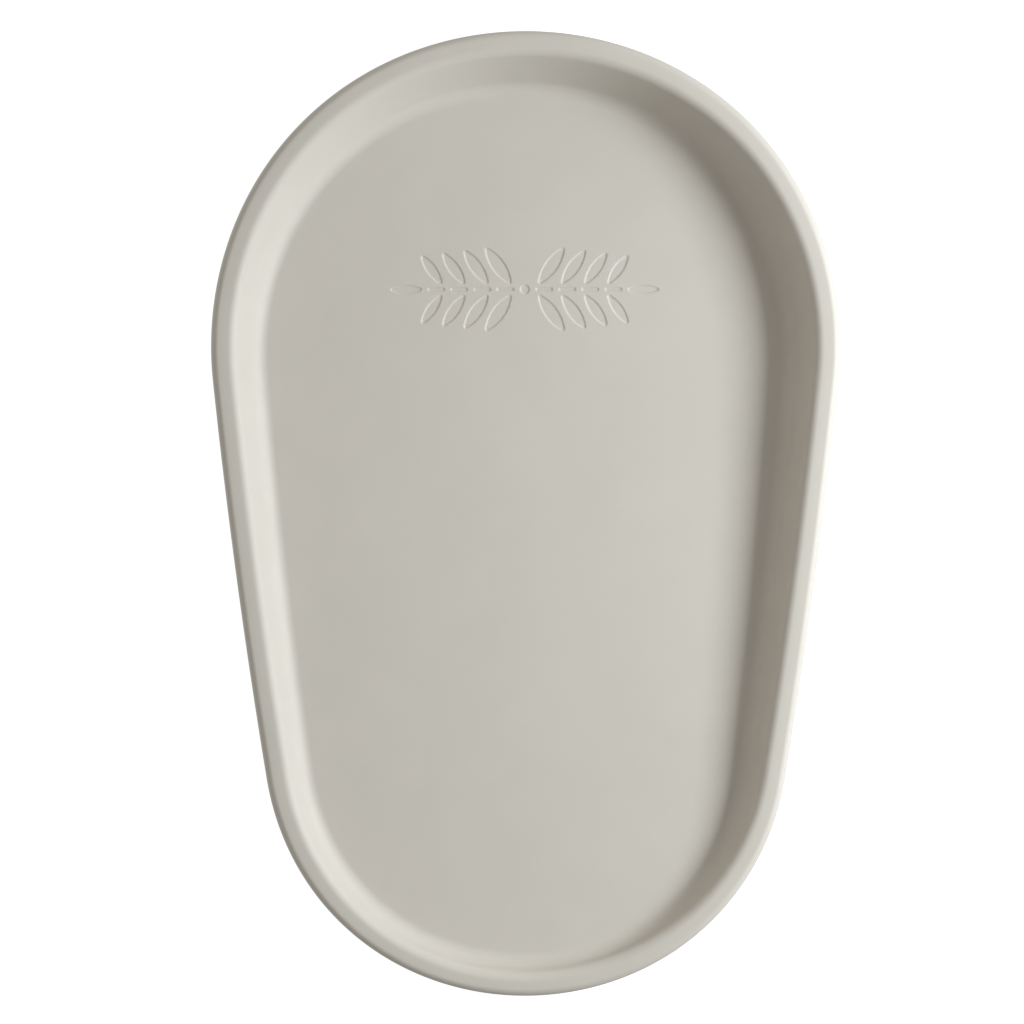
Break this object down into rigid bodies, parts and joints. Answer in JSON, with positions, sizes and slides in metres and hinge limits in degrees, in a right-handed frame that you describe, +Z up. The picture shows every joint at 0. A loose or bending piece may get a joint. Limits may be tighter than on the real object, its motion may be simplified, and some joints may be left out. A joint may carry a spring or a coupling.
{
  "type": "changing mat",
  "caption": "Egg-shaped tray mat of soft moulded foam with a raised rolled rim, a flat floor and rubber non-slip pads beneath.",
  "frame": {"origin": "on the ground under the middle of the mat", "axes": "+Z up; +Y along the mat towards its wide head end; +X across it to the right of someone who stands at the foot end"},
  "size_m": [0.4718, 0.7258, 0.0721],
  "materials": {
    "moulded_skin": "soft matt polyurethane skin, straight from a fine-textured mould",
    "moulded_base_skin": "soft matt polyurethane skin with a slightly coarser mould texture",
    "soft_foam": "fine-celled flexible polyurethane foam, hidden inside the skins",
    "grip_rubber": "matt dark grey rubber with one moulded tread groove"
  },
  "bodies": {
    "root": {"top_skin": "moulded_skin", "base_skin": "moulded_base_skin", "foam_core": "soft_foam", "head_right_pad": "grip_rubber", "head_left_pad": "grip_rubber", "middle_right_pad": "grip_rubber", "middle_left_pad": "grip_rubber", "foot_right_pad": "grip_rubber", "foot_left_pad": "grip_rubber"}
  },
  "joints": []
}
